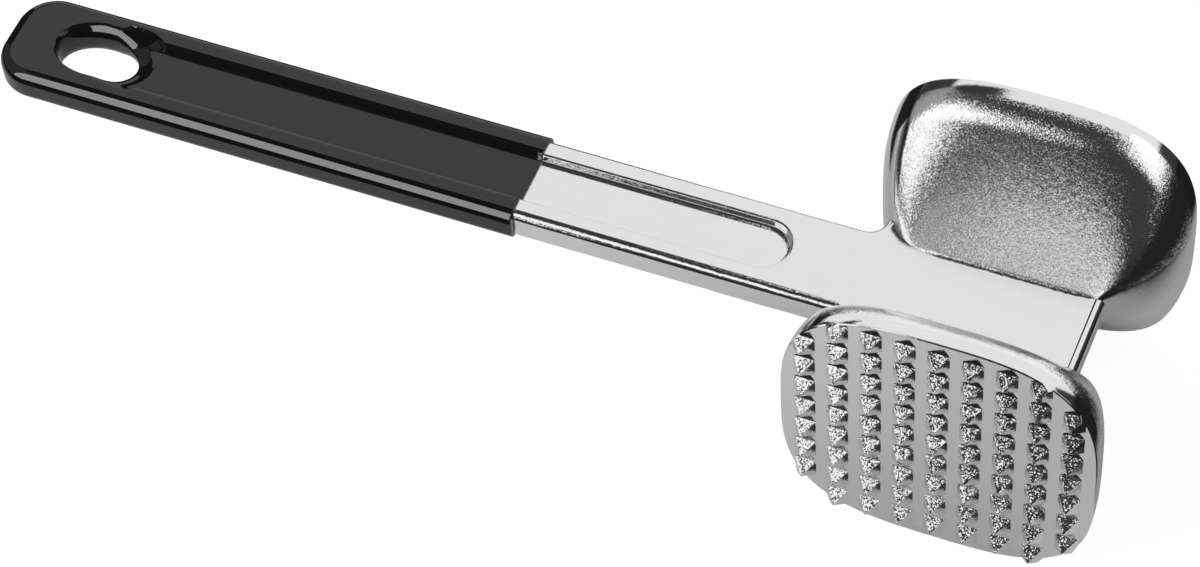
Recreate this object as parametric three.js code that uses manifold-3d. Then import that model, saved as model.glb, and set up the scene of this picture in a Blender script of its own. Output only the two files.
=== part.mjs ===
// Meat mallet: one aluminium casting with a striking head on each side of a flat handle, and a
// dipped vinyl grip with a hang hole.
//
// Millimetres. X runs along the handle (the grip is at -X), Y is the striking direction (the
// toothed face is at -Y, the smooth face at +Y) and Z is square to the flat of the handle. The
// pieces are drawn about the centre of the head, half-way between the two striking faces; the
// group then moves them so that the origin is the centre of the smooth face.

import * as THREE from 'three';
import { mergeVertices } from 'three/addons/utils/BufferGeometryUtils.js';
import Module from 'manifold-3d';

const wasm = await Module();
wasm.setup();

// ---------------------------------------------------------------- driving dimensions

// Striking heads
const FACE_Y = 31.05; // from the centre to a striking face, without its teeth
const FACE_HALF = 30.9; // half the width, and half the height, of a striking face
const FACE_SQUARENESS = 3.1; // superellipse exponent of the face's outline: 2 is round
const NECK_SQUARENESS = 8; // the same where the head grows out of the web
const SIDE_DROP = 22.75; // the head's sides follow a quarter ellipse: how far it comes in ...
const SIDE_REACH = 25.35; // ... over this distance behind the face
const NECK_Y = 8.45; // where the sloping back of a head meets the flat of the web
const ROLL_RADIUS = 9.4; // the head's top and bottom roll over from the face into that slope

// Teeth
const TOOTH_PITCH = 6.5;
const TOOTH_BASE = 4.3;
const TOOTH_HEIGHT = 2.85;
const TEETH_ACROSS = 9; // rows and columns; the four corner places stay empty

// Handle and web
const HALF_WIDTH = 10.25;
const HALF_THICKNESS = 3.3;
const EDGE_RADIUS = 1.5;
const WEB_END = 19.8; // the web's free end, beyond the heads' centre
const NECK_X = 25.7; // the handle flares into the heads here
const NECK_RADIUS = 3.3;
const HANDLE_END = 207.6;
const END_RADIUS = 7.2;

// Long recess in both flats of the handle
const RECESS_START = 39.9; // its round end next to the heads
const RECESS_HALF = 6.3;
const RECESS_DEPTH = 1.5;
const RECESS_FILLET = 0.9;

// Hang hole
const HOLE_X = 189;
const HOLE_HALF_LENGTH = 9.1;
const HOLE_HALF_WIDTH = 6.0;

// Dipped grip
const GRIP_START = 94.2; // its open mouth
const GRIP_WALL = 0.55;
const GRIP_GAP = 0.05; // between the coat and the metal

// Fineness of the faceted surfaces
const OUTLINE_STEPS = 64;
const ROLL_STEPS = 8;
const SLOPE_STEPS = 4;
const CURVE_STEPS = 10;
const EDGE_STEPS = 3;

// ---------------------------------------------------------------- solids

function toSolid(geometry) {
  const bare = geometry.index ? geometry.toNonIndexed() : geometry.clone();
  bare.deleteAttribute('normal');
  bare.deleteAttribute('uv');
  const merged = mergeVertices(bare, 1e-4);
  const vertProperties = new Float32Array(merged.attributes.position.array);
  const triVerts = new Uint32Array(merged.index.array);
  return new wasm.Manifold(new wasm.Mesh({ numProp: 3, vertProperties, triVerts }));
}

function toMesh(name, solid, material) {
  const { vertProperties, triVerts } = solid.getMesh();
  const geometry = new THREE.BufferGeometry();
  geometry.setAttribute('position', new THREE.Float32BufferAttribute(vertProperties, 3));
  geometry.setIndex(new THREE.BufferAttribute(triVerts, 1));
  geometry.computeVertexNormals();
  const mesh = new THREE.Mesh(geometry, material);
  mesh.name = name;
  return mesh;
}

// A plate of this outline, centred on Z = 0, with rounded edges all round.
function plate(outline, halfThickness, edgeRadius) {
  const geometry = new THREE.ExtrudeGeometry(outline, {
    depth: 2 * (halfThickness - edgeRadius),
    bevelThickness: edgeRadius,
    bevelSize: edgeRadius,
    bevelOffset: -edgeRadius,
    bevelSegments: EDGE_STEPS,
    curveSegments: CURVE_STEPS,
  });
  geometry.translate(0, 0, edgeRadius - halfThickness);
  return toSolid(geometry);
}

// ---------------------------------------------------------------- heads

// Half the head's width at a distance y from the centre.
function headHalfWidth(y) {
  const behindFace = (FACE_Y - y) / SIDE_REACH;
  return FACE_HALF - SIDE_DROP * (1 - Math.sqrt(1 - behindFace ** 2));
}

// Half the head's height against y: a straight slope that starts inside the web, then a round
// roll-over that meets the striking face square on.
function headHeightProfile() {
  const rise = FACE_HALF - ROLL_RADIUS - HALF_THICKNESS;
  const run = FACE_Y - NECK_Y;
  const slope = Math.atan2(rise, run) + Math.asin(ROLL_RADIUS / Math.hypot(rise, run));
  const startHalf = HALF_THICKNESS / 4;
  const startY = NECK_Y - (HALF_THICKNESS - startHalf) / Math.tan(slope);
  const tangentY = FACE_Y - ROLL_RADIUS * Math.sin(slope);
  const tangentHalf = FACE_HALF - ROLL_RADIUS * (1 - Math.cos(slope));
  const profile = [];
  for (let i = 0; i < SLOPE_STEPS; i++) {
    const t = i / SLOPE_STEPS;
    profile.push(new THREE.Vector2(
      THREE.MathUtils.lerp(startY, tangentY, t),
      THREE.MathUtils.lerp(startHalf, tangentHalf, t),
    ));
  }
  for (let i = 0; i <= ROLL_STEPS; i++) {
    const angle = slope * (1 - i / ROLL_STEPS);
    profile.push(new THREE.Vector2(
      FACE_Y - ROLL_RADIUS * Math.sin(angle),
      FACE_HALF - ROLL_RADIUS * (1 - Math.cos(angle)),
    ));
  }
  return profile;
}

// Half the head's height at y, read off the profile.
function headHalfHeight(profile, y) {
  const next = profile.findIndex((point) => point.x >= y - 1e-6);
  const after = profile[Math.max(next, 1)];
  const before = profile[Math.max(next, 1) - 1];
  return THREE.MathUtils.mapLinear(y, before.x, after.x, before.y, after.y);
}

// One step of the superellipse's outline: the cosine or sine of the turn, squared off.
function squaredOff(wave, squareness) {
  const onAxis = Math.abs(wave) < 1e-6;
  return onAxis ? 0 : Math.sign(wave) * Math.abs(wave) ** (2 / squareness);
}

// A unit lathe whose rings are stretched into the head's sections, with the face at +Y before the
// head is turned about Z.
function headSolid(turnAboutZ) {
  const profile = headHeightProfile();
  const rings = profile.map((point) => new THREE.Vector2(1, point.x));
  const axisStart = new THREE.Vector2(0, profile[0].x);
  const axisEnd = new THREE.Vector2(0, FACE_Y);
  const geometry = new THREE.LatheGeometry([axisStart, ...rings, axisEnd], OUTLINE_STEPS);
  const position = geometry.attributes.position;
  for (let i = 0; i < position.count; i++) {
    const y = position.getY(i);
    const radius = Math.hypot(position.getX(i), position.getZ(i));
    const turn = Math.atan2(position.getZ(i), position.getX(i));
    const behindFace = (FACE_Y - y) / (FACE_Y - NECK_Y);
    const squareness = THREE.MathUtils.lerp(FACE_SQUARENESS, NECK_SQUARENESS, behindFace ** 3);
    position.setX(i, radius * headHalfWidth(y) * squaredOff(Math.cos(turn), squareness));
    position.setZ(i, radius * headHalfHeight(profile, y) * squaredOff(Math.sin(turn), squareness));
  }
  geometry.rotateZ(turnAboutZ);
  return toSolid(geometry);
}

// The outline of a striking face as a shape in the XY plane.
function faceShape() {
  const points = [];
  for (let i = 0; i < OUTLINE_STEPS; i++) {
    const turn = (2 * Math.PI * i) / OUTLINE_STEPS;
    points.push(new THREE.Vector2(
      FACE_HALF * squaredOff(Math.cos(turn), FACE_SQUARENESS),
      FACE_HALF * squaredOff(Math.sin(turn), FACE_SQUARENESS),
    ));
  }
  return new THREE.Shape(points);
}

// Square pyramids on the face at -Y, trimmed to the face's outline.
function teethSolid() {
  const sunk = 0.4; // each tooth starts inside the head
  const height = TOOTH_HEIGHT + sunk;
  const base = (TOOTH_BASE * height) / TOOTH_HEIGHT;
  const middle = (TEETH_ACROSS - 1) / 2;
  const pyramids = [];
  for (let column = 0; column < TEETH_ACROSS; column++) {
    for (let row = 0; row < TEETH_ACROSS; row++) {
      const atCorner = column % (TEETH_ACROSS - 1) === 0 && row % (TEETH_ACROSS - 1) === 0;
      if (atCorner) continue;
      const pyramid = new THREE.ConeGeometry(base / Math.SQRT2, height, 4);
      pyramid.rotateY(Math.PI / 4);
      pyramid.rotateX(Math.PI);
      pyramid.translate(
        (column - middle) * TOOTH_PITCH,
        sunk - FACE_Y - height / 2,
        (row - middle) * TOOTH_PITCH,
      );
      pyramids.push(toSolid(pyramid));
    }
  }
  const trim = new THREE.ExtrudeGeometry(faceShape(), { depth: 3 * height, bevelEnabled: false });
  trim.rotateX(Math.PI / 2);
  trim.translate(0, height - FACE_Y, 0);
  return wasm.Manifold.union(pyramids).intersect(toSolid(trim));
}

// ---------------------------------------------------------------- handle

// The tang's outline from startX to the rounded end, grown outwards on every side.
function tangOutline(growth, startX) {
  const halfWidth = HALF_WIDTH + growth;
  const radius = END_RADIUS + growth;
  const end = -HANDLE_END - growth;
  const outline = new THREE.Shape();
  outline.moveTo(startX, -halfWidth);
  outline.lineTo(startX, halfWidth);
  outline.lineTo(end + radius, halfWidth);
  outline.absarc(end + radius, halfWidth - radius, radius, Math.PI / 2, Math.PI, false);
  outline.absarc(end + radius, radius - halfWidth, radius, Math.PI, 1.5 * Math.PI, false);
  outline.closePath();
  return outline;
}

// The flared end of the handle and the web between the heads.
function webOutline() {
  const reach = HALF_WIDTH + NECK_RADIUS;
  const arcX = -NECK_X - NECK_RADIUS;
  const overlap = 12;
  const outline = new THREE.Shape();
  outline.moveTo(WEB_END, -reach);
  outline.lineTo(WEB_END, reach);
  outline.lineTo(-NECK_X, reach);
  outline.absarc(arcX, reach, NECK_RADIUS, 0, -Math.PI / 2, true);
  outline.lineTo(arcX - overlap, HALF_WIDTH);
  outline.lineTo(arcX - overlap, -HALF_WIDTH);
  outline.lineTo(arcX, -HALF_WIDTH);
  outline.absarc(arcX, -reach, NECK_RADIUS, Math.PI / 2, 0, true);
  outline.closePath();
  return outline;
}

// What the recess removes from one flat. Growing the handle shrinks it.
function recessCutter(growth, side) {
  const half = RECESS_HALF - growth;
  const startX = -RECESS_START - RECESS_HALF;
  const outline = new THREE.Shape();
  outline.moveTo(startX, -half);
  outline.absarc(startX, 0, half, -Math.PI / 2, Math.PI / 2, false);
  outline.lineTo(-HOLE_X, half);
  outline.absarc(-HOLE_X, 0, half, Math.PI / 2, 1.5 * Math.PI, false);
  outline.closePath();
  const geometry = new THREE.ExtrudeGeometry(outline, {
    depth: 2 * RECESS_DEPTH,
    bevelThickness: RECESS_FILLET,
    bevelSize: RECESS_FILLET,
    bevelOffset: -RECESS_FILLET,
    bevelSegments: EDGE_STEPS,
    curveSegments: CURVE_STEPS,
  });
  geometry.translate(0, 0, HALF_THICKNESS + growth - RECESS_DEPTH + RECESS_FILLET);
  if (side < 0) geometry.rotateX(Math.PI);
  return toSolid(geometry);
}

// What the hang hole removes.
function holeCutter(growth) {
  const outline = new THREE.Shape();
  const halfLength = HOLE_HALF_LENGTH - growth;
  outline.absellipse(-HOLE_X, 0, halfLength, HOLE_HALF_WIDTH - growth, 0, 2 * Math.PI, false, 0);
  const depth = 4 * HALF_THICKNESS;
  const geometry = new THREE.ExtrudeGeometry(outline, {
    depth,
    bevelEnabled: false,
    curveSegments: 2 * CURVE_STEPS,
  });
  geometry.translate(0, 0, -depth / 2);
  return toSolid(geometry);
}

// Both recesses and the hang hole.
function openings(growth) {
  return wasm.Manifold.union([
    recessCutter(growth, 1),
    recessCutter(growth, -1),
    holeCutter(growth),
  ]);
}

// The handle's tang with its openings, grown outwards on every side.
function tangSolid(growth, startX) {
  const body = plate(tangOutline(growth, startX), HALF_THICKNESS + growth, EDGE_RADIUS + growth);
  return body.subtract(openings(growth));
}

// ---------------------------------------------------------------- pieces

// Handle, web, both heads and the teeth are one casting.
function castBody() {
  const handle = tangSolid(0, -NECK_X - NECK_RADIUS);
  const web = plate(webOutline(), HALF_THICKNESS, EDGE_RADIUS).subtract(openings(0));
  const smoothHead = headSolid(0);
  const toothedHead = headSolid(Math.PI);
  const solid = wasm.Manifold.union([handle, web, smoothHead, toothedHead, teethSolid()]);
  const aluminium = new THREE.MeshStandardMaterial({
    color: 0xc9c9c6,
    roughness: 0.35,
    metalness: 1,
  });
  return toMesh('cast_body', solid, aluminium);
}

// The coat follows the metal with an even wall and is cut off square at its open mouth.
function gripSleeve() {
  const spare = 4 * EDGE_RADIUS;
  const outside = tangSolid(GRIP_WALL, spare - GRIP_START);
  const inside = tangSolid(GRIP_GAP, 2 * spare - GRIP_START);
  const beyondMouth = new THREE.BoxGeometry(HANDLE_END, 4 * HALF_WIDTH, 4 * HALF_WIDTH);
  beyondMouth.translate(-GRIP_START - HANDLE_END / 2, 0, 0);
  const vinyl = new THREE.MeshStandardMaterial({ color: 0x0b0b0c, roughness: 0.08, metalness: 0 });
  return toMesh('grip_sleeve', outside.subtract(inside).intersect(toSolid(beyondMouth)), vinyl);
}

const mallet = new THREE.Group();
mallet.add(castBody());
mallet.add(gripSleeve());
mallet.position.y = -FACE_Y;

export default mallet;
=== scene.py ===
"""Looks of a cast aluminium meat mallet with a dipped vinyl grip.

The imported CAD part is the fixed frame. Both CAD nodes are replaced by fine meshes built here from
the same few dimensions: lofted heads, a rounded handle plate with recesses and a hang hole,
cast teeth and a thin vinyl coat. Shapes are drawn in millimetres about the centre of the head
(half-way between the striking faces) and moved into the row frame, in metres, when meshed.
"""
import math

import bpy
import numpy as np
from mathutils import Matrix, Vector, noise


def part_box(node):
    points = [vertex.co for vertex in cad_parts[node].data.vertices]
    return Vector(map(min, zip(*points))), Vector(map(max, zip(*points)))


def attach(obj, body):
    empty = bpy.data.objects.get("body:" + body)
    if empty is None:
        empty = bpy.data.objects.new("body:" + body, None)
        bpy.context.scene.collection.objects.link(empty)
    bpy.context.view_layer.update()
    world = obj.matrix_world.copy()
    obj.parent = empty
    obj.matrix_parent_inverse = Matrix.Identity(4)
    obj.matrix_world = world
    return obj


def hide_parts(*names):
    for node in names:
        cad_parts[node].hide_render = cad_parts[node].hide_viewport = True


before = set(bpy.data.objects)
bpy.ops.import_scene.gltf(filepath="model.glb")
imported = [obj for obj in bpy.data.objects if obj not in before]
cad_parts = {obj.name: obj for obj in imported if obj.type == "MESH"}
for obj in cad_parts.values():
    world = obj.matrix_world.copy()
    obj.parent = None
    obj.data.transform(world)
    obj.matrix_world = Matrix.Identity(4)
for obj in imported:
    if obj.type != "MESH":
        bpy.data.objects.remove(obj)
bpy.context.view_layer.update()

MM = 0.001

# ------------------------------------------------------------------ dimensions, in millimetres

body_low, body_high = (np.array(corner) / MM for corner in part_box("cast_body"))
grip_low, grip_high = (np.array(corner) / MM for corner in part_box("grip_sleeve"))

TOOTH_PITCH = 6.5
TOOTH_BASE = 4.3
TOOTH_HEIGHT = 2.85
TOOTH_SUNK = 0.5
TOOTH_RINGS = 5
TOOTH_SIDE_POINTS = 5
TEETH_ACROSS = 9

FACE_HALF = (body_high[2] - body_low[2]) / 2
FACE_Y = (body_high[1] - body_low[1] - TOOTH_HEIGHT) / 2
HEAD_CENTRE_Y = body_high[1] - FACE_Y
FACE_SQUARENESS = 3.1
NECK_SQUARENESS = 8.0
SIDE_DROP = 22.75
SIDE_REACH = 25.35
NECK_Y = 8.45
ROLL_RADIUS = 9.4
FACE_CHAMFER = 0.22
FILLET_RADIUS = 1.8
FILLET_SUNK = 0.02
HEAD_POINTS = 224

HALF_WIDTH = 10.25
HALF_THICKNESS = 3.3
WEB_END = 19.8
NECK_X = 25.7
NECK_RADIUS = 3.3
END_RADIUS = 7.2
TOP_EDGE_RADIUS = 1.9
TOP_EDGE_SWEEP = math.radians(63)
LOW_EDGE_RADIUS = 1.0
LOW_EDGE_INSET = 0.3
# The fettled side of the handle, as (offset from its outline, z), with a crisp corner near the
# top, and the small step from there into the rolled top edge.
FETTLED_SIDE = [(-0.22, 0.0), (-0.14, 1.2), (-0.12, 1.85), (-0.14, 2.05)]
FETTLED_STEP = 0.05

RECESS_START = 39.9
RECESS_HALF = 6.3
RECESS_DEPTH = 1.5
# Walls of the recess from its floor up, as (radius of the bend, slope after it in degrees).
METAL_POCKET = [(2.8, 25), (0.2, 75), (0.3, 29), (0.9, 0)]
VINYL_POCKET = [(0.8, 20), (0, 66), (0, 27), (2.3, 0)]

HOLE_X = 189.0
HOLE_HALF_LENGTH = 9.1
HOLE_HALF_WIDTH = 6.0
HOLE_POINTS = 144
HOLE_WALL_HALF = 0.5
HOLE_FLARE, HOLE_FLARE_INWARD, HOLE_FLARE_BACK = 0.9, 3.2, 1.3

GRIP_START = -grip_high[0]
GRIP_WALL = (grip_high[2] - grip_low[2]) / 2 - HALF_THICKNESS
GRIP_GAP = 0.05
HANDLE_END = -grip_low[0] - GRIP_WALL
COAT_SIDE_WALL = 0.95
COAT_HALF_THICKNESS = HALF_THICKNESS + 0.45
COAT_RECESS_HALF = RECESS_HALF + 0.55
COAT_EDGE_RADIUS = 2.4


# ------------------------------------------------------------------ mesh helpers

def to_row(points):
    """Millimetres about the head's centre to metres in the row frame."""
    return (np.asarray(points, float) + (0, HEAD_CENTRE_Y, 0)) * MM


def new_object(name, points, faces):
    mesh = bpy.data.meshes.new(name)
    mesh.from_pydata([tuple(p) for p in to_row(points)], [], [tuple(f) for f in faces])
    mesh.update()
    obj = bpy.data.objects.new(name, mesh)
    bpy.context.scene.collection.objects.link(obj)
    return obj


def side_quads(start, ring_count, ring_size):
    """Quads between consecutive rings of points, whose numbers begin at start."""
    faces = []
    for ring in range(ring_count - 1):
        low = start + ring * ring_size
        high = low + ring_size
        for i in range(ring_size):
            after = (i + 1) % ring_size
            faces.append((low + i, low + after, high + after, high + i))
    return faces


def ring_faces(ring_count, ring_size):
    """Quads between consecutive rings, and strips of quads across the first and last ring.

    The first half of a ring mirrors its second half, read backwards.
    """
    faces = side_quads(0, ring_count, ring_size)
    last = (ring_count - 1) * ring_size
    for i in range(ring_size // 2 - 1):
        mirror = ring_size - 1 - i
        faces.append((mirror, mirror - 1, i + 1, i))
        faces.append((last + i, last + i + 1, last + mirror - 1, last + mirror))
    return faces


def outward_normals(outline):
    """Mitred normals at the points of a closed anticlockwise outline."""
    edge = np.roll(outline, -1, 0) - outline
    edge /= np.linalg.norm(edge, axis=1)[:, None]
    normal = np.stack([edge[:, 1], -edge[:, 0]], 1)
    both = normal + np.roll(normal, 1, 0)
    return both * 2 / (both ** 2).sum(1)[:, None]


def loft(name, outline, profile, wobble=None):
    """A solid with this plan outline. profile lists (outward offset, z) from the bottom up."""
    normals = outward_normals(outline)
    rings = []
    for offset, z in profile:
        shift = np.full(len(outline), float(offset))
        if wobble is not None:
            shift += wobble(outline, z)
        plan = outline + normals * shift[:, None]
        rings.append(np.column_stack([plan, np.full(len(plan), z)]))
    return new_object(name, np.concatenate(rings), ring_faces(len(rings), len(outline)))


def arc(centre, radius, start, end, steps):
    """Points of an arc, from the angle start to the angle end in degrees, both included."""
    angle = np.radians(np.linspace(start, end, steps + 1))
    return np.column_stack([centre[0] + radius * np.cos(angle), centre[1] + radius * np.sin(angle)])


def mirrored(corners, spacing=1.5):
    """A closed outline from its +Y half, listed from +X to -X.

    Stretches longer than spacing get points in between.
    """
    half = []
    for here, there in zip(corners[:-1], corners[1:]):
        steps = max(1, int(np.linalg.norm(there - here) / spacing))
        for step in range(steps):
            half.append(here + (there - here) * step / steps)
    half = np.array(half + [corners[-1]])
    return np.concatenate([half, half[::-1] * (1, -1)])


def combine(target, tool, operation):
    """Boolean of two solids. The tool is used up."""
    modifier = target.modifiers.new("combine", "BOOLEAN")
    modifier.operation = operation
    modifier.solver = "MANIFOLD"
    modifier.object = tool
    depsgraph = bpy.context.evaluated_depsgraph_get()
    mesh = bpy.data.meshes.new_from_object(target.evaluated_get(depsgraph))
    target.modifiers.clear()
    if len(mesh.polygons) == 0:
        raise RuntimeError("boolean " + operation + " of " + tool.name + " left nothing")
    target.data = mesh
    bpy.data.objects.remove(tool)
    return target


# ------------------------------------------------------------------ heads

def roll_slope():
    """The slope of the head's back, in radians from the Y axis."""
    rise = FACE_HALF - ROLL_RADIUS - HALF_THICKNESS
    run = FACE_Y - NECK_Y
    return math.atan2(rise, run) + math.asin(ROLL_RADIUS / math.hypot(rise, run))


def head_profile():
    """(y, half height) from inside the web outwards: fillet, straight back, roll, face."""
    slope = roll_slope()
    low = HALF_THICKNESS - FILLET_SUNK
    rise = FILLET_RADIUS - (FILLET_RADIUS - FILLET_SUNK) * math.cos(slope)
    fillet_y = NECK_Y - rise / math.sin(slope)
    angle = np.linspace(0, slope, 9)
    fillet = np.column_stack([
        fillet_y + FILLET_RADIUS * np.sin(angle),
        low + FILLET_RADIUS * (1 - np.cos(angle)),
    ])
    tangent_y = FACE_Y - ROLL_RADIUS * math.sin(slope)
    tangent_half = FACE_HALF - ROLL_RADIUS * (1 - math.cos(slope))
    straight = np.linspace(fillet[-1], (tangent_y, tangent_half), 26)[1:-1]
    angle = np.linspace(slope, 0, 30)
    roll = np.column_stack([
        FACE_Y - ROLL_RADIUS * np.sin(angle),
        FACE_HALF - ROLL_RADIUS * (1 - np.cos(angle)),
    ])
    roll[-1, 0] -= FACE_CHAMFER
    inside_web = [(fillet_y - 0.4, HALF_THICKNESS / 4)]
    face = [(FACE_Y, FACE_HALF - FACE_CHAMFER)]
    return np.concatenate([inside_web, fillet, straight, roll, face])


def head_half_width(y):
    """The head's sides fall away behind the face along a quarter of an ellipse."""
    behind = np.clip((FACE_Y - y) / SIDE_REACH, 0, 0.999)
    return FACE_HALF - SIDE_DROP * (1 - np.sqrt(1 - behind ** 2))


def squircle(half_x, half_z, squareness):
    """Points of a superellipse: squareness 2 is an ellipse, and higher values are squarer."""
    turn = (np.arange(HEAD_POINTS) + 0.5) * 2 * math.pi / HEAD_POINTS
    across, up = np.cos(turn), np.sin(turn)
    reach = (np.abs(across) ** squareness + np.abs(up) ** squareness) ** (-1 / squareness)
    return np.column_stack([half_x * reach * across, half_z * reach * up])


def upright_ring(section, y):
    """A section across the head, stood up at y."""
    return np.column_stack([section[:, 0], np.full(len(section), y), section[:, 1]])


def head(name, side):
    """One striking head. side is 1 for the smooth head at +Y and -1 for the toothed one."""
    rings = []
    for y, half_height in head_profile():
        half_width = head_half_width(y)
        if y >= FACE_Y:
            half_width -= FACE_CHAMFER
        behind = (FACE_Y - y) / (FACE_Y - NECK_Y)
        squareness = FACE_SQUARENESS + (NECK_SQUARENESS - FACE_SQUARENESS) * behind ** 3
        section = squircle(half_width, half_height, squareness)
        if side > 0:
            section = section[::-1]
        rings.append(upright_ring(section, side * y))
    return new_object(name, np.concatenate(rings), ring_faces(len(rings), HEAD_POINTS))


# ------------------------------------------------------------------ teeth

noise.seed_set(1)  # noise_vector draws its offsets from the seed, which is the time otherwise


def cast_unevenness(spot, spread, amount):
    """A small shift that depends on the place only. spread is in waves per millimetre."""
    return np.array(noise.noise_vector(Vector(spot * spread))) * amount


def tooth_points(x, z):
    """One cast pyramid: rings from its base, sunk below the toothed face, then its blunt tip."""
    height = TOOTH_HEIGHT + TOOTH_SUNK
    half = TOOTH_BASE / 2 * height / TOOTH_HEIGHT
    corners = [np.array(corner) for corner in ((-1, -1), (1, -1), (1, 1), (-1, 1))]
    points = []
    for ring in range(TOOTH_RINGS):
        share = 1 - ring / TOOTH_RINGS
        y = TOOTH_SUNK - FACE_Y - height * (1 - share)
        for here, there in zip(corners, corners[1:] + corners[:1]):
            for step in range(TOOTH_SIDE_POINTS):
                plan = (here + (there - here) * step / TOOTH_SIDE_POINTS) * half * share
                spot = np.array([x + plan[0], y, z + plan[1]])
                if ring and step:
                    spot += cast_unevenness(spot, spread=0.9, amount=0.055)
                points.append(spot)
    blunted = 0.06
    tip = np.array([x, -FACE_Y - TOOTH_HEIGHT + blunted, z])
    tip[[0, 2]] += cast_unevenness(tip, spread=1.0, amount=0.05)[:2]
    return points + [tip]


def tooth_faces(start):
    """Faces of one pyramid whose points are numbered from start."""
    ring_size = 4 * TOOTH_SIDE_POINTS
    last = start + (TOOTH_RINGS - 1) * ring_size
    tip = last + ring_size
    sides = side_quads(start, TOOTH_RINGS, ring_size)
    top = [(last + i, last + (i + 1) % ring_size, tip) for i in range(ring_size)]
    base = tuple(reversed(range(start, start + ring_size)))
    return sides + top + [base]


def teeth():
    """All the pyramids, trimmed by the outline of the face. The four corner places are empty."""
    points, faces = [], []
    edge = TEETH_ACROSS - 1
    for column in range(TEETH_ACROSS):
        for row in range(TEETH_ACROSS):
            if column % edge == 0 and row % edge == 0:
                continue
            faces += tooth_faces(len(points))
            points += tooth_points((column - edge / 2) * TOOTH_PITCH, (row - edge / 2) * TOOTH_PITCH)
    all_teeth = new_object("teeth", np.array(points), faces)
    half = FACE_HALF - 0.02
    section = squircle(half, half, FACE_SQUARENESS)
    inside_head = 2 - FACE_Y
    past_tips = inside_head - 3 * TOOTH_HEIGHT
    rings = [upright_ring(section, y) for y in (inside_head, past_tips)]
    trim = new_object("trim", np.concatenate(rings), ring_faces(2, HEAD_POINTS))
    return combine(all_teeth, trim, "INTERSECT")


# ------------------------------------------------------------------ handle

def metal_side():
    """(offset, z) up the side of the bare handle: lower edge, fettled side, rolled top edge."""
    lower = []
    for angle in np.radians(np.linspace(0, 90, 8)):
        inset = LOW_EDGE_INSET + LOW_EDGE_RADIUS * (1 - math.sin(angle))
        lower.append((-inset, LOW_EDGE_RADIUS * (1 - math.cos(angle)) - HALF_THICKNESS))
    start = FETTLED_SIDE[-1][0] - FETTLED_STEP - TOP_EDGE_RADIUS * math.sin(TOP_EDGE_SWEEP)
    upper = []
    for angle in np.linspace(TOP_EDGE_SWEEP, 0, 11):
        z = HALF_THICKNESS - TOP_EDGE_RADIUS * (1 - math.cos(angle))
        upper.append((start + TOP_EDGE_RADIUS * math.sin(angle), z))
    return lower + FETTLED_SIDE + upper


def round_side(half_thickness, radius):
    """(offset, z) up a side with two round edges and a flat in between."""
    upper, lower = [], []
    for angle in np.radians(np.linspace(90, 0, 13)):
        rise, reach = 1 - math.cos(angle), 1 - math.sin(angle)
        upper.append((-radius * reach, half_thickness - radius * rise))
        lower.append((-radius * reach, radius * rise - half_thickness))
    return lower[::-1] + upper


def handle_outline(growth, start_x):
    """The handle's outline, grown outwards, from start_x to its rounded end."""
    half = HALF_WIDTH + growth
    radius = END_RADIUS + growth
    end = -HANDLE_END - growth
    corner = arc((end + radius, half - radius), radius, 90, 180, 20)
    return mirrored(np.concatenate([[(start_x, half)], corner]))


def body_outline():
    """Web, neck fillets and tang in one outline. The web's sides lie inside the heads."""
    reach = HALF_WIDTH + NECK_RADIUS
    inside_head = reach + 3
    neck = arc((-NECK_X - NECK_RADIUS, reach), NECK_RADIUS, 0, -90, 14)
    end = arc((END_RADIUS - HANDLE_END, HALF_WIDTH - END_RADIUS), END_RADIUS, 90, 180, 20)
    web = [(WEB_END, inside_head), (0.6 - NECK_X, inside_head)]
    return mirrored(np.concatenate([web, neck, end]))


def edge_waviness(outline, z):
    """The slight unevenness of a fettled casting's sides. The flats' outlines stay true."""
    if abs(z) > HALF_THICKNESS - 0.05:
        return np.zeros(len(outline))
    along, upwards, amount = 0.16, 0.5, 0.07
    wave = [noise.noise(Vector((x * along, y * along, z * upwards))) for x, y in outline]
    return amount * np.array(wave)


def pocket_profile(top, bends):
    """(offset, z) of a recess wall from its floor up to the flat at top.

    Each (radius, degrees) in bends turns the wall to that slope, as a sharp corner where the
    radius is 0. The straight wall follows the steepest bend, and the offset ends at 0 on the
    flat.
    """
    slope, rise = 0.0, 0.0
    for radius, degrees in bends:
        rise += radius * abs(math.cos(math.radians(slope)) - math.cos(math.radians(degrees)))
        slope = degrees
    straight = RECESS_DEPTH - rise
    steepest = max(degrees for _, degrees in bends)
    spot = np.array([0.0, top - RECESS_DEPTH])
    profile = [tuple(spot)]
    slope = 0.0
    for radius, degrees in bends:
        steps = max(4, int(abs(degrees - slope) / 8)) if radius else 0
        angle = np.radians(np.linspace(slope, degrees, steps + 1))
        run = radius * np.abs(np.diff(np.sin(angle)))
        lift = radius * np.abs(np.diff(np.cos(angle)))
        for step in zip(run, lift):
            spot = spot + step
            profile.append(tuple(spot))
        slope = degrees
        if degrees == steepest:
            spot = spot + (straight / math.tan(math.radians(steepest)), straight)
            profile.append(tuple(spot))
    reach = profile[-1][0]
    just_under_flat = (reach - 0.02, top - 0.001)
    clear_of_flat = (reach + 4.0, top + 0.6)
    profile = profile[:-1] + [just_under_flat, clear_of_flat]
    return [(offset - reach, z) for offset, z in profile]


def turn_over(obj):
    """Mirrors a solid through the mid-plane of the handle and keeps its faces outwards."""
    for vertex in obj.data.vertices:
        vertex.co.z = -vertex.co.z
    obj.data.flip_normals()


def recess_cutter(opening, side, profile):
    """Long stadium pocket of this half width. side is 1 for the upper flat, -1 for the lower."""
    near = arc((-RECESS_START - RECESS_HALF, 0), opening, 2, 90, 24)
    far = arc((-HOLE_X, 0), opening, 90, 178, 24)
    cutter = loft("recess", mirrored(np.concatenate([near, far])), profile)
    if side < 0:
        turn_over(cutter)
    return cutter


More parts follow.
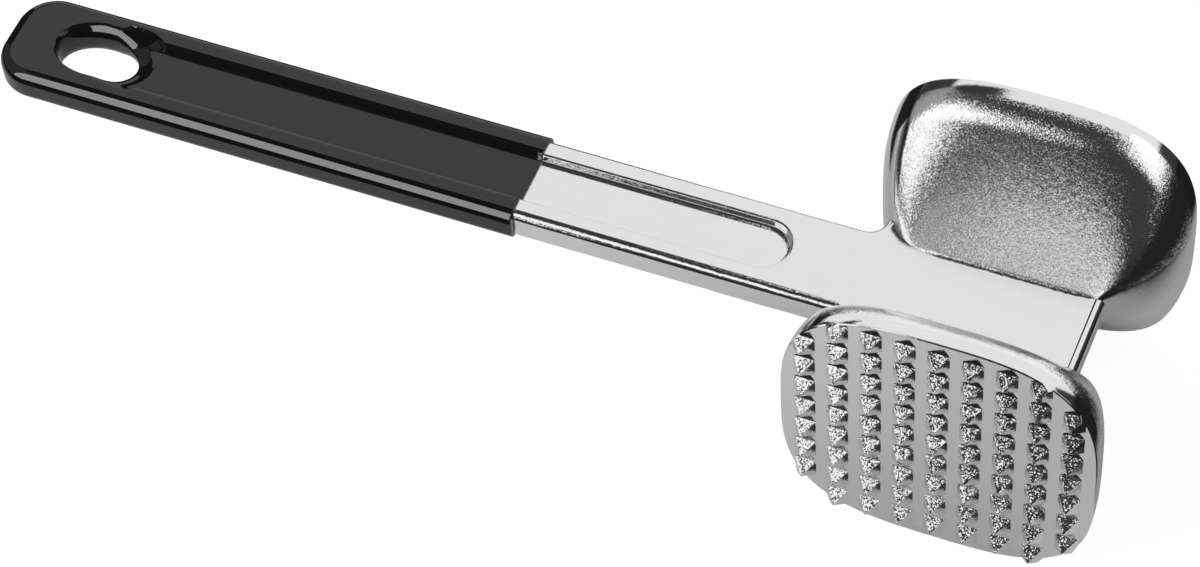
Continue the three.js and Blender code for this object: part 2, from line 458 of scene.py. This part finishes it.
def hole_flare(angle):
    """How far the hole's wall rounds out at the flats: most towards the heads and at the back."""
    inward = np.maximum(0.0, np.cos(angle))
    backwards = np.maximum(0.0, np.sin(angle))
    return HOLE_FLARE + HOLE_FLARE_INWARD * inward ** 2 + HOLE_FLARE_BACK * backwards


def hole_cutter(inset, top):
    """Oval hang hole, inset all round, in a handle whose flats are at top above and below.

    The hole opens into the recess on its +X side and into the flat elsewhere. Its last two
    rings carry the cut clear of the surface.
    """
    turn = (np.arange(HOLE_POINTS) + 0.5) * 2 * math.pi / HOLE_POINTS
    plan = np.column_stack([
        (HOLE_HALF_LENGTH - inset) * np.cos(turn),
        (HOLE_HALF_WIDTH - inset) * np.sin(turn),
    ])
    normals = outward_normals(plan)
    spread = hole_flare(turn)
    into_flat = np.clip((0.75 - np.cos(turn)) / 0.5, 0, 1)
    brim = top - RECESS_DEPTH + RECESS_DEPTH * into_flat
    round_height = brim - HOLE_WALL_HALF
    upper = [(np.zeros(HOLE_POINTS), np.full(HOLE_POINTS, 0.6 * HOLE_WALL_HALF))]
    for angle in np.radians(np.linspace(0, 84, 12)):
        z = HOLE_WALL_HALF + round_height * math.sin(angle)
        upper.append((spread * (1 - math.cos(angle)), z))
    upper.append((spread * 1.3 + 0.3, brim + 0.25))
    upper.append((spread * 1.6 + 0.6, np.full(HOLE_POINTS, top + 1.5)))
    rings = []
    for offset, z in [(offset, -z) for offset, z in reversed(upper)] + upper:
        ring = plan + normals * offset[:, None]
        rings.append(np.column_stack([ring[:, 0] - HOLE_X, ring[:, 1], z]))
    return new_object("hole", np.concatenate(rings), ring_faces(len(rings), HOLE_POINTS))


# ------------------------------------------------------------------ pieces

def smooth_with_creases(obj, degrees):
    """Smooth shading, with a crease at every edge that turns more than this."""
    obj.data.polygons.foreach_set("use_smooth", [True] * len(obj.data.polygons))
    obj.data.set_sharp_from_angle(angle=math.radians(degrees))
    modifier = obj.modifiers.new("flat faces stay flat", "WEIGHTED_NORMAL")
    modifier.keep_sharp = True
    modifier.weight = 90


def cut_recesses(target, opening, top, bends):
    """Cuts the long pocket into both flats of the target."""
    profile = pocket_profile(top, bends)
    for side in (1, -1):
        combine(target, recess_cutter(opening, side, profile), "DIFFERENCE")


def cast_body():
    """Handle, web, both heads and the teeth, as one casting."""
    body = loft("casting", body_outline(), metal_side(), edge_waviness)
    cut_recesses(body, RECESS_HALF, HALF_THICKNESS, METAL_POCKET)
    combine(body, hole_cutter(0, HALF_THICKNESS), "DIFFERENCE")
    toothed = combine(head("toothed_head", -1), teeth(), "UNION")
    combine(body, toothed, "UNION")
    combine(body, head("smooth_head", 1), "UNION")
    body.name = "casting"
    smooth_with_creases(body, 32)
    return body


def tang_hollow():
    """What the metal takes up inside the coat, with the bond gap. It ends past the mouth."""
    top = HALF_THICKNESS + GRIP_GAP
    past_mouth = 4
    side = [(offset + GRIP_GAP, z + math.copysign(GRIP_GAP, z)) for offset, z in metal_side()]
    tang = loft("tang", handle_outline(0, past_mouth - GRIP_START), side)
    cut_recesses(tang, RECESS_HALF - GRIP_GAP, top, METAL_POCKET)
    return combine(tang, hole_cutter(GRIP_GAP, top), "DIFFERENCE")


def grip_coat():
    """The vinyl coat, lofted longer than it is and cut square at its mouth."""
    top = COAT_HALF_THICKNESS
    past_mouth = 8
    outline = handle_outline(COAT_SIDE_WALL, past_mouth - GRIP_START)
    coat = loft("vinyl_coat", outline, round_side(top, COAT_EDGE_RADIUS))
    corners = [(2 * past_mouth - GRIP_START, 2 * HALF_WIDTH), (-GRIP_START, 2 * HALF_WIDTH)]
    mouth = loft("mouth", mirrored(np.array(corners)), [(0, -2 * top), (0, 2 * top)])
    combine(coat, mouth, "DIFFERENCE")
    cut_recesses(coat, COAT_RECESS_HALF, top, VINYL_POCKET)
    combine(coat, hole_cutter(GRIP_WALL, top), "DIFFERENCE")
    combine(coat, tang_hollow(), "DIFFERENCE")
    smooth_with_creases(coat, 15)
    return coat


body = cast_body()
coat = grip_coat()


# ------------------------------------------------------------------ materials

class Nodes:
    """Short hand for building a node tree."""

    def __init__(self, tree):
        self.tree = tree
        tree.nodes.clear()

    def add(self, kind, inputs=None, **settings):
        node = self.tree.nodes.new(kind)
        for key, value in settings.items():
            setattr(node, key, value)
        for key, value in (inputs or {}).items():
            if isinstance(value, bpy.types.NodeSocket):
                self.tree.links.new(value, node.inputs[key])
            else:
                node.inputs[key].default_value = value
        return node

    def math(self, operation, a, b=0.0, c=0.0):
        node = self.add("ShaderNodeMath", {0: a, 1: b, 2: c}, operation=operation)
        return node.outputs[0]

    def ramp(self, value, slope, start):
        """start + slope * value"""
        return self.math("MULTIPLY_ADD", value, slope, start)

    def vector(self, operation, inputs):
        return self.add("ShaderNodeVectorMath", inputs, operation=operation).outputs[0]

    def noise(self, where, scale, detail=2.0, roughness=0.5):
        """scale is in waves per metre."""
        node = self.add("ShaderNodeTexNoise", {
            "Vector": where, "Scale": scale, "Detail": detail, "Roughness": roughness,
        })
        return node.outputs["Fac"]

    def mask(self, value, off, on):
        """A soft step from 0 where value is off to 1 where it is on."""
        node = self.add("ShaderNodeMapRange", {
            "Value": value, "From Min": off, "From Max": on,
        }, interpolation_type="SMOOTHSTEP")
        return node.outputs[0]

    def grey(self, value):
        channels = {"Red": value, "Green": value, "Blue": value}
        return self.add("ShaderNodeCombineColor", channels).outputs[0]


def new_material(name):
    material = bpy.data.materials.new(name)
    material.use_nodes = True
    return material, Nodes(material.node_tree)


def tilted_specks(nodes, where, scale, tilt, normal):
    """The normal with every grain of the surface tilted its own way by up to tilt / 2."""
    cells = nodes.add("ShaderNodeTexVoronoi", {"Vector": where, "Scale": scale})
    centred = nodes.vector("SUBTRACT", {0: cells.outputs["Color"], 1: (0.5, 0.5, 0.5)})
    push = nodes.vector("SCALE", {0: centred, "Scale": tilt})
    total = nodes.vector("ADD", {0: normal, 1: push})
    return nodes.vector("NORMALIZE", {0: total})


def metal_relief(nodes, where, blasted, skin):
    """Height of the metal's surface: fine grain, dents and, on the teeth, cast lumps."""
    dents = nodes.noise(where, 900)
    lumps = nodes.noise(where, 1900, roughness=0.6)
    grain = nodes.noise(where, 3000, roughness=0.6)
    height = nodes.math("MULTIPLY", grain, nodes.ramp(blasted, 0.5, 0.10))
    height = nodes.math("MULTIPLY_ADD", dents, nodes.ramp(blasted, 0.25, 0.12), height)
    height = nodes.math("MULTIPLY_ADD", lumps, nodes.math("MULTIPLY", skin, 0.35), height)
    return nodes.math("MULTIPLY_ADD", blasted, -0.6, height)


def metal_material():
    """Tumbled casting, nearly a mirror.

    The attribute blasted marks the rough backs of the heads, and cast_skin the lumpy sides of
    the teeth.
    """
    material, nodes = new_material("tumbled_cast_aluminium")
    where = nodes.add("ShaderNodeTexCoord").outputs["Object"]
    blasted = nodes.add("ShaderNodeAttribute", attribute_name="blasted").outputs["Fac"]
    skin = nodes.add("ShaderNodeAttribute", attribute_name="cast_skin").outputs["Fac"]
    cloudiness = nodes.noise(where, 90)
    rough = nodes.math("MULTIPLY_ADD", cloudiness, 0.05, nodes.ramp(blasted, 0.04, 0.08))
    bevel = nodes.add("ShaderNodeBevel", {"Radius": 0.15 * MM}, samples=4)
    bump = nodes.add("ShaderNodeBump", {
        "Strength": 1.0, "Distance": 0.07 * MM,
        "Height": metal_relief(nodes, where, blasted, skin), "Normal": bevel.outputs[0],
    })
    tilt = nodes.math("MULTIPLY_ADD", skin, 0.30, nodes.ramp(blasted, 0.13, 0.02))
    shader = nodes.add("ShaderNodeBsdfPrincipled", {
        "Base Color": nodes.grey(nodes.ramp(blasted, 0.10, 0.84)), "Metallic": 1.0,
        "Roughness": rough, "Normal": tilted_specks(nodes, where, 4600, tilt, bump.outputs[0]),
    })
    nodes.add("ShaderNodeOutputMaterial", {"Surface": shader.outputs[0]})
    return material


def vinyl_material():
    """Glossy dipped vinyl, with a faint flow and a soft lip where the coat ends."""
    material, nodes = new_material("dipped_black_vinyl")
    where = nodes.add("ShaderNodeTexCoord").outputs["Object"]
    flow = nodes.noise(where, 70, detail=1)
    along = nodes.add("ShaderNodeSeparateXYZ", {0: where}).outputs[0]
    mouth = nodes.mask(along, -(GRIP_START + 1.2) * MM, -(GRIP_START + 0.6) * MM)
    lip = nodes.add("ShaderNodeBevel", {"Radius": nodes.math("MULTIPLY", mouth, 0.5 * MM)}, samples=6)
    bump = nodes.add("ShaderNodeBump", {
        "Strength": 0.25, "Distance": 0.08 * MM, "Height": flow, "Normal": lip.outputs[0],
    })
    shader = nodes.add("ShaderNodeBsdfPrincipled", {
        "Base Color": (0.004, 0.004, 0.0045, 1), "Roughness": 0.05, "IOR": 1.53,
        "Normal": bump.outputs[0],
    })
    nodes.add("ShaderNodeOutputMaterial", {"Surface": shader.outputs[0]})
    return material


def mark_surface(obj, name, rule):
    """Writes rule(corner, face middle, face normal), in millimetres, on every face corner."""
    mesh = obj.data
    values = np.zeros(len(mesh.loops), np.float32)
    centre = Vector((0, HEAD_CENTRE_Y, 0)) * MM
    for face in mesh.polygons:
        middle = (face.center - centre) / MM
        for loop in face.loop_indices:
            spot = (mesh.vertices[mesh.loops[loop].vertex_index].co - centre) / MM
            values[loop] = rule(spot, middle, face.normal)
    attribute = mesh.attributes.new(name, "FLOAT", "CORNER")
    attribute.data.foreach_set("value", values)


def soft_step(value, width):
    """0 to 1 over this width, half-way where value is 0."""
    return min(1.0, max(0.0, value / width + 0.5))


def blasted_at(spot, middle, _normal):
    """1 on the sloping back of a head, inside its polished rim and polished handle side."""
    if abs(middle.z) < HALF_THICKNESS + 0.02 or middle.x < 1 - FACE_HALF:
        return 0.0
    polished_rim, polished_from_x, low_corner_x, low_corner_z = 3.0, -24.0, 18, 4.9
    rim = soft_step(FACE_Y - polished_rim - abs(spot.y), 0.8)
    handle_side = soft_step(spot.x - polished_from_x, 0.4)
    low_side = soft_step(abs(spot.z) - low_corner_z, 1.2) if spot.x > low_corner_x else 1.0
    return rim * handle_side * low_side


def cast_skin_at(_spot, middle, normal):
    """How lumpy the skin is: most on the upward sides of the teeth, less on their other sides
    and on the handle's rolled edges and recess walls, and 0 elsewhere.
    """
    if middle.y < -FACE_Y - 0.02:
        faces_up, is_side = normal.z > 0.5, abs(normal.y) < 0.9
        return 0.5 if faces_up else 0.12 * is_side
    on_handle = middle.x < -NECK_X and abs(middle.y) < HALF_WIDTH + 0.1
    slopes = 0.15 < abs(normal.z) < 0.99
    return 0.25 if on_handle and slopes else 0.0


mark_surface(body, "blasted", blasted_at)
mark_surface(body, "cast_skin", cast_skin_at)
body.data.materials.clear()
body.data.materials.append(metal_material())
coat.data.materials.clear()
coat.data.materials.append(vinyl_material())

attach(body, "root")
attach(coat, "root")
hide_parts("cast_body")
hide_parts("grip_sleeve")

# ------------------------------------------------------------------ camera

AZIMUTH, ELEVATION, ROLL = (math.radians(angle) for angle in (25.585, 52.521, -4.561))
LENS = 123.64
SENSOR = 36.0
PITCH = TOOTH_PITCH * MM  # the camera's distances are in tooth pitches
DISTANCE = 120.316 * PITCH
SHIFT_RIGHT, SHIFT_UP = -11.39 * PITCH, 1.02 * PITCH


def add_camera():
    """A long lens at the viewing angle, shifted so that the whole mallet fills the picture."""
    right = Vector((math.cos(AZIMUTH), math.sin(AZIMUTH), 0))
    up = Vector((-math.sin(AZIMUTH) * math.sin(ELEVATION),
                 math.cos(AZIMUTH) * math.sin(ELEVATION), math.cos(ELEVATION)))
    back = right.cross(up)
    tilted_right = right * math.cos(ROLL) + up * math.sin(ROLL)
    tilted_up = -right * math.sin(ROLL) + up * math.cos(ROLL)
    head_centre = Vector((0, HEAD_CENTRE_Y * MM, 0))
    place = head_centre + tilted_right * SHIFT_RIGHT + tilted_up * SHIFT_UP + back * DISTANCE
    camera = bpy.data.objects.new("camera", bpy.data.cameras.new("camera"))
    bpy.context.scene.collection.objects.link(camera)
    camera.data.lens = LENS
    camera.data.sensor_width = SENSOR
    camera.data.clip_end = 10
    turn = Matrix((tilted_right, tilted_up, back)).transposed().to_4x4()
    camera.matrix_world = Matrix.Translation(place) @ turn
    bpy.context.scene.camera = camera


add_camera()

# ------------------------------------------------------------------ studio

def add_box(name, centre, facing, width, height, radiance, only=None):
    """A soft box at centre, in millimetres from the head's centre, that shines along facing.

    only limits it to some pieces, as a flag or a scrim on the set would.
    """
    light = bpy.data.lights.new(name, "AREA")
    light.shape = "RECTANGLE"
    light.size, light.size_y = width * MM, height * MM
    light.energy = radiance * math.pi * light.size * light.size_y
    obj = bpy.data.objects.new(name, light)
    bpy.context.scene.collection.objects.link(obj)
    obj.location = to_row(centre)
    obj.rotation_euler = (-Vector(facing)).to_track_quat("Z", "Y").to_euler()
    obj.visible_camera = False
    if only is not None:
        lit = bpy.data.collections.new("lit_by_" + name)
        for piece in only:
            lit.objects.link(piece)
        obj.light_linking.receiver_collection = lit


def painted_shade_beyond(nodes):
    """1 where the table's colour is painted dark to reflections, as painted shade: far right, far in
    front, and behind the grip.

    Each mask goes from its first place to its second, in metres in the row frame.
    """
    place = nodes.add("ShaderNodeNewGeometry").outputs["Position"]
    x, y, _ = nodes.add("ShaderNodeSeparateXYZ", {0: place}).outputs
    far_right = nodes.mask(x, 0.044, 0.058)
    near_head = nodes.mask(x, -0.07, -0.03)
    pale_reach = nodes.ramp(near_head, 0.048, 0.072)
    past_reach = nodes.math("SUBTRACT", nodes.math("MULTIPLY", y, -1.0), pale_reach)
    far_front = nodes.mask(past_reach, -0.006, 0.008)
    behind = nodes.math("MULTIPLY", nodes.mask(y, -0.005, 0.005), nodes.mask(y, 0.41, 0.40))
    behind_grip = nodes.math("MULTIPLY", behind, nodes.mask(x, -0.085, -0.095))
    return nodes.math("MAXIMUM", nodes.math("MAXIMUM", far_right, far_front), behind_grip)


def floor_material():
    """White to the camera. In reflections the table's colour is painted, as painted shade: pale near
    the mallet and dark beyond.
    """
    material, nodes = new_material("pale_floor")
    seen = nodes.add("ShaderNodeLightPath").outputs["Is Camera Ray"]
    # painted shade: the table's colour seen in reflections, pale near the mallet and dark beyond
    pale, dark = 0.65, 0.02
    shade = nodes.ramp(painted_shade_beyond(nodes), dark - pale, pale)
    reflected = nodes.add("ShaderNodeBsdfDiffuse", {"Color": shade})
    shadowed = nodes.add("ShaderNodeBsdfDiffuse", {"Color": (0.16, 0.16, 0.16, 1)})
    glow = nodes.add("ShaderNodeEmission", {"Color": (1, 1, 1, 1), "Strength": 0.92})
    shown = nodes.add("ShaderNodeAddShader", {0: shadowed.outputs[0], 1: glow.outputs[0]})
    mix = nodes.add("ShaderNodeMixShader", {0: seen, 1: reflected.outputs[0], 2: shown.outputs[0]})
    nodes.add("ShaderNodeOutputMaterial", {"Surface": mix.outputs[0]})
    return material


def add_floor():
    """The table, level with the lowest point of the heads."""
    half = 4.0
    low = body_low[2] * MM
    mesh = bpy.data.meshes.new("floor")
    corners = [(-half, -half, low), (half, -half, low), (half, half, low), (-half, half, low)]
    mesh.from_pydata(corners, [], [(0, 1, 2, 3)])
    mesh.materials.append(floor_material())
    floor = bpy.data.objects.new("floor", mesh)
    bpy.context.scene.collection.objects.link(floor)
    return floor


def add_world():
    """White behind the mallet to the camera, and nearly dark to reflections."""
    world = bpy.data.worlds.new("studio")
    bpy.context.scene.world = world
    world.use_nodes = True
    nodes = Nodes(world.node_tree)
    seen = nodes.add("ShaderNodeLightPath").outputs["Is Camera Ray"]
    strength = nodes.ramp(seen, 0.9, 0.04)
    back = nodes.add("ShaderNodeBackground", {"Color": (1, 1, 1, 1), "Strength": strength})
    nodes.add("ShaderNodeOutputWorld", {"Surface": back.outputs[0]})


floor = add_floor()
add_world()

# name, centre, facing, width and height, radiance, and the only pieces that it lights
add_box("overhead", (300, 420, 500), (0, 0, -1), 900, 760, 0.86)
add_box("overhead_left", (-355, 540, 500), (0, 0, -1), 410, 530, 0.86)
add_box("back_wall", (-125, 800, 235), (0, -1, 0), 1750, 530, 0.85)
add_box("left_front", (-252, -186, 228), (0.73, 0.68, 0), 235, 420, 1.0, [body])
add_box("left_front_high", (-133, -300, 309), (0.63, 0.78, 0), 99, 258, 1.1, [body])
add_box("left_front_flagged", (-245, -206, 232), (0.766, 0.643, 0), 250, 395, 5.4, [coat, floor])
add_box("right", (297, -23, 273), (-0.82, 0.06, -0.56), 330, 360, 0.95)
add_box("left_grey", (-451, -40, 211), (0.9, 0.08, -0.42), 430, 400, 0.28)

bpy.context.scene.view_settings.view_transform = "Standard"
